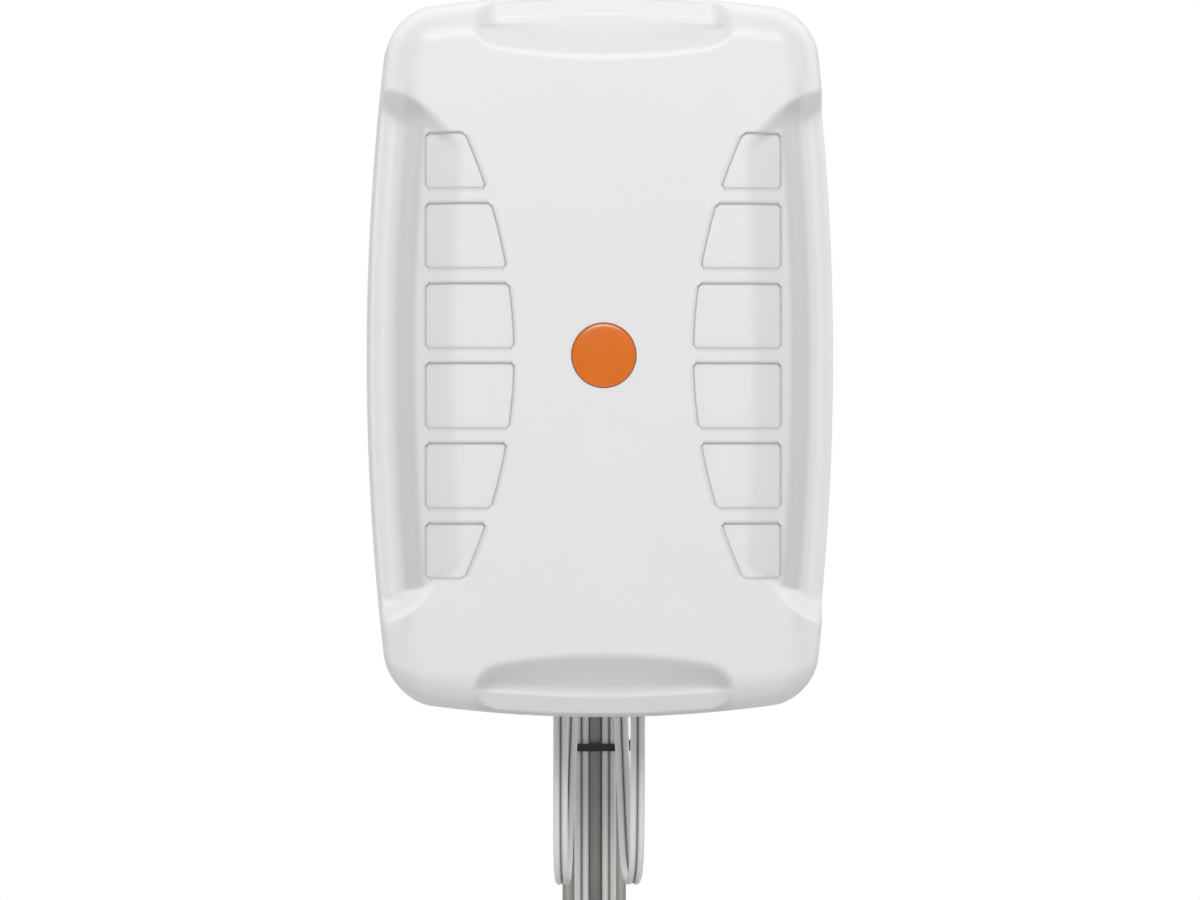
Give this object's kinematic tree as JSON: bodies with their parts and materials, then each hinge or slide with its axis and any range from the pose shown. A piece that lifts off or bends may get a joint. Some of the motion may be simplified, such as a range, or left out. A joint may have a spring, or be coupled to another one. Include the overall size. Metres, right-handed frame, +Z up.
{
  "type": "mast-mounted directional antenna",
  "caption": "Closed white radome antenna on a tilting mast clamp, with twin coaxial leads looped, coiled and tied to a round mast.",
  "frame": {"origin": "centre of the mast's lower end, on the mast's axis", "axes": "+Z up along the mast; the antenna faces -Y; +X is to the right of someone who faces the antenna"},
  "size_m": [0.2808, 0.2436, 0.882],
  "materials": {
    "radome_plastic": "moulded UV-stable ABS, satin",
    "cover_plastic": "moulded ABS, satin",
    "badge_enamel": "domed orange resin, gloss",
    "seal_rubber": "EPDM, matt",
    "gland_rubber": "moulded TPE, matt",
    "stainless": "A2 stainless, bright",
    "brass": "turned brass",
    "lock_plastic": "moulded nylon",
    "reflector_aluminium": "mill finish sheet",
    "board_laminate": "glass laminate with solder mask",
    "copper": "tinned copper foil",
    "pigtail_jacket": "thin coax jacket",
    "bracket_zinc": "galvanised steel sheet, matt",
    "jaw_casting": "die-cast aluminium, tumbled",
    "mast_metal": "galvanised tube, weathered",
    "cap_plastic": "moulded polyethylene",
    "cable_jacket": "light grey PVC",
    "boot_plastic": "moulded PVC",
    "tie_nylon": "black nylon",
    "plug_gold": "gold-plated brass",
    "nut_gold": "gold-plated brass"
  },
  "bodies": {
    "mast": {"mast_tube": "mast_metal", "mast_top_cap": "cap_plastic"},
    "clamp": {"pole_bracket": "bracket_zinc", "fixed_jaw": "jaw_casting", "clamp_bolts": "stainless", "mast_cable_tie": "tie_nylon", "mast_coil_tie": "tie_nylon", "coil_ties": "tie_nylon", "left_cable_loop": "cable_jacket", "left_cable_run": "cable_jacket", "left_cable_coil": "cable_jacket", "left_split_boot": "boot_plastic", "right_cable_loop": "cable_jacket", "right_cable_run": "cable_jacket", "right_cable_coil": "cable_jacket", "right_split_boot": "boot_plastic", "cable_tail_1": "cable_jacket", "sma_plug_1": "plug_gold", "cable_tail_2": "cable_jacket", "sma_plug_2": "plug_gold", "cable_tail_3": "cable_jacket", "sma_plug_3": "plug_gold", "cable_tail_4": "cable_jacket", "sma_plug_4": "plug_gold"},
    "rear_clamp": {"rear_jaw": "jaw_casting", "clamp_nuts": "stainless", "clamp_washers": "stainless"},
    "antenna": {"front_radome": "radome_plastic", "badge_disc": "badge_enamel", "rear_cover": "cover_plastic", "perimeter_seal": "seal_rubber", "cover_screws": "stainless", "threaded_inserts": "brass", "drain_vent": "seal_rubber", "left_cable_gland": "gland_rubber", "right_cable_gland": "gland_rubber", "gland_lock_plates": "lock_plastic", "reflector_plate": "reflector_aluminium", "reflector_standoffs": "brass", "reflector_screws": "stainless", "upper_plus45_board": "board_laminate", "upper_minus45_board": "board_laminate", "lower_plus45_board": "board_laminate", "lower_minus45_board": "board_laminate", "upper_array_copper": "copper", "lower_array_copper": "copper", "board_clips": "lock_plastic", "upper_pigtails": "pigtail_jacket", "lower_pigtails": "pigtail_jacket", "antenna_bracket": "bracket_zinc", "bracket_screws": "stainless", "bracket_washers": "stainless", "tilt_bolts": "stainless", "tilt_nuts": "stainless", "tilt_washers": "stainless"},
    "nut_1": {"sma_nut_1": "nut_gold"},
    "nut_2": {"sma_nut_2": "nut_gold"},
    "nut_3": {"sma_nut_3": "nut_gold"},
    "nut_4": {"sma_nut_4": "nut_gold"}
  },
  "joints": [
    {"name": "azimuth_turn", "type": "hinge", "parent": "mast", "child": "clamp", "pos_m": [0, 0, 0.666], "axis": [0, 0, 1], "continuous": true},
    {"name": "antenna_tilt", "type": "hinge", "parent": "clamp", "child": "antenna", "pos_m": [0, -0.05, 0.688], "axis": [1, 0, 0], "range_deg": [-10, 10], "deforming": ["left_cable_loop", "right_cable_loop"]},
    {"name": "rear_jaw_slide", "type": "slide", "parent": "clamp", "child": "rear_clamp", "axis": [0, 1, 0], "range_m": [0, 0.01]},
    {"name": "coupling_nut_1_turn", "type": "hinge", "parent": "clamp", "child": "nut_1", "pos_m": [-0.00951, -0.02728, 0.05401], "axis": [-0.0085, -0.03, -0.9995], "continuous": true},
    {"name": "coupling_nut_2_turn", "type": "hinge", "parent": "clamp", "child": "nut_2", "pos_m": [-0.02699, -0.02728, 0.05401], "axis": [0.01, -0.03, -0.9995], "continuous": true},
    {"name": "coupling_nut_3_turn", "type": "hinge", "parent": "clamp", "child": "nut_3", "pos_m": [0.00951, -0.02728, 0.05401], "axis": [0.0085, -0.03, -0.9995], "continuous": true},
    {"name": "coupling_nut_4_turn", "type": "hinge", "parent": "clamp", "child": "nut_4", "pos_m": [0.02699, -0.02728, 0.05401], "axis": [-0.01, -0.03, -0.9995], "continuous": true}
  ]
}
